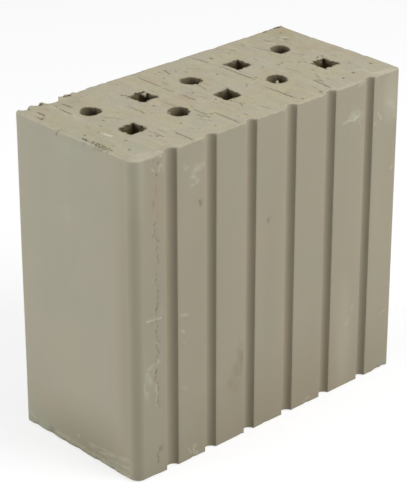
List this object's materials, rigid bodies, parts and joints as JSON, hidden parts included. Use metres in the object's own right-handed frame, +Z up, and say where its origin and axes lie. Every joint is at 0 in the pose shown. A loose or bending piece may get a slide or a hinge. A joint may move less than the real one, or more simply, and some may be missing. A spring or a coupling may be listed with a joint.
{
  "type": "clay brick",
  "caption": "Unfired extruded clay brick, a tall block with grooved long faces, plain short ends, and rows of round and square holes running through from bed to bed.",
  "frame": {"origin": "middle of the lower bed, the wire-cut face that the brick stands on", "axes": "+X along the grooved long faces, +Y from the front grooved face to the back one, +Z up along the through holes"},
  "size_m": [0.24, 0.115, 0.227],
  "materials": {
    "raw_clay": "matt unfired clay, smoothed by the die on its sides and torn fine by the cutting wire on its beds"
  },
  "bodies": {
    "root": {"clay_brick": "raw_clay"}
  },
  "joints": []
}
